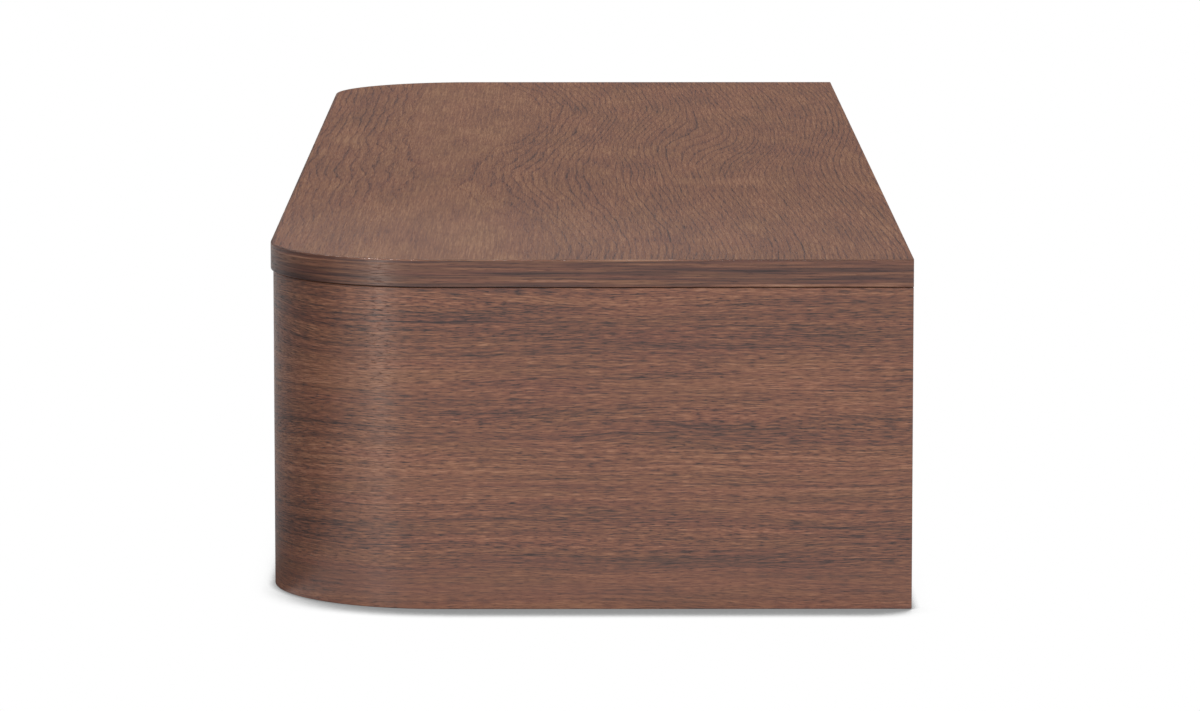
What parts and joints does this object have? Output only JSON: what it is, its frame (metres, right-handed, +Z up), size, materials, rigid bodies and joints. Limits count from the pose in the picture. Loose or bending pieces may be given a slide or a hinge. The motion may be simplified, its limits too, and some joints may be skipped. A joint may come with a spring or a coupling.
{
  "type": "floating console table",
  "caption": "Wall-hung walnut console table with round front corners, a thin overhanging top, inset finger-pull drawers on telescopic runners and a French cleat.",
  "frame": {"origin": "middle of the wall cleat's rear face, on the wall plane", "axes": "+X along the console to the right of a person facing it, +Y into the wall, +Z up"},
  "size_m": [1.2, 0.375, 0.204],
  "materials": {
    "walnut_veneer": "satin lacquer",
    "walnut_edge": "satin lacquer",
    "walnut_panel": "satin lacquer",
    "plywood": "sanded",
    "birch": "clear lacquer",
    "beech": "raw",
    "zinc_steel": "zinc plated",
    "screw_steel": "yellow passivated"
  },
  "bodies": {
    "case": {"top_panel": "walnut_veneer", "top_edge_band": "walnut_edge", "end_shell_left": "walnut_veneer", "end_shell_right": "walnut_veneer", "bottom_panel": "walnut_panel", "inner_side_left": "plywood", "inner_side_right": "plywood", "centre_divider": "plywood", "front_rail": "plywood", "rear_rail": "plywood", "hanging_rail": "plywood", "back_panel": "plywood", "hanging_cleat": "plywood", "wall_cleat": "plywood", "top_screw_1": "screw_steel", "top_screw_2": "screw_steel", "top_screw_3": "screw_steel", "top_screw_4": "screw_steel", "case_screw_1": "screw_steel", "case_screw_2": "screw_steel", "case_screw_3": "screw_steel", "case_screw_4": "screw_steel", "case_screw_5": "screw_steel", "case_screw_6": "screw_steel", "cleat_screw_1": "screw_steel", "cleat_screw_2": "screw_steel", "cleat_screw_3": "screw_steel", "cleat_screw_4": "screw_steel", "case_dowel_left_1": "beech", "case_dowel_left_2": "beech", "case_dowel_right_1": "beech", "case_dowel_right_2": "beech", "runner_left_outer_case_member": "zinc_steel", "runner_left_inner_case_member": "zinc_steel", "runner_right_outer_case_member": "zinc_steel", "runner_right_inner_case_member": "zinc_steel"},
    "drawer_left": {"drawer_left_front": "walnut_veneer", "drawer_left_outer_side": "birch", "drawer_left_inner_side": "birch", "drawer_left_sub_front": "birch", "drawer_left_back": "birch", "drawer_left_bottom": "birch", "drawer_left_screw_1": "screw_steel", "drawer_left_screw_2": "screw_steel", "runner_left_outer_drawer_member": "zinc_steel", "runner_left_inner_drawer_member": "zinc_steel"},
    "drawer_right": {"drawer_right_front": "walnut_veneer", "drawer_right_outer_side": "birch", "drawer_right_inner_side": "birch", "drawer_right_sub_front": "birch", "drawer_right_back": "birch", "drawer_right_bottom": "birch", "drawer_right_screw_1": "screw_steel", "drawer_right_screw_2": "screw_steel", "runner_right_outer_drawer_member": "zinc_steel", "runner_right_inner_drawer_member": "zinc_steel"},
    "runner_left_outer_middle": {"runner_left_outer_middle_member": "zinc_steel"},
    "runner_left_inner_middle": {"runner_left_inner_middle_member": "zinc_steel"},
    "runner_right_outer_middle": {"runner_right_outer_middle_member": "zinc_steel"},
    "runner_right_inner_middle": {"runner_right_inner_middle_member": "zinc_steel"}
  },
  "joints": [
    {"name": "left_drawer_slide", "type": "slide", "parent": "case", "child": "drawer_left", "axis": [0, -1, 0], "range_m": [0, 0.3]},
    {"name": "right_drawer_slide", "type": "slide", "parent": "case", "child": "drawer_right", "axis": [0, -1, 0], "range_m": [0, 0.3]},
    {"name": "left_outer_runner_slide", "type": "slide", "parent": "case", "child": "runner_left_outer_middle", "axis": [0, -1, 0], "range_m": [0, 0.15]},
    {"name": "left_inner_runner_slide", "type": "slide", "parent": "case", "child": "runner_left_inner_middle", "axis": [0, -1, 0], "range_m": [0, 0.15]},
    {"name": "right_outer_runner_slide", "type": "slide", "parent": "case", "child": "runner_right_outer_middle", "axis": [0, -1, 0], "range_m": [0, 0.15]},
    {"name": "right_inner_runner_slide", "type": "slide", "parent": "case", "child": "runner_right_inner_middle", "axis": [0, -1, 0], "range_m": [0, 0.15]}
  ],
  "couplings": [
    {"joint": "left_outer_runner_slide", "follows": "left_drawer_slide", "ratio": 0.5},
    {"joint": "left_inner_runner_slide", "follows": "left_drawer_slide", "ratio": 0.5},
    {"joint": "right_outer_runner_slide", "follows": "right_drawer_slide", "ratio": 0.5},
    {"joint": "right_inner_runner_slide", "follows": "right_drawer_slide", "ratio": 0.5}
  ]
}
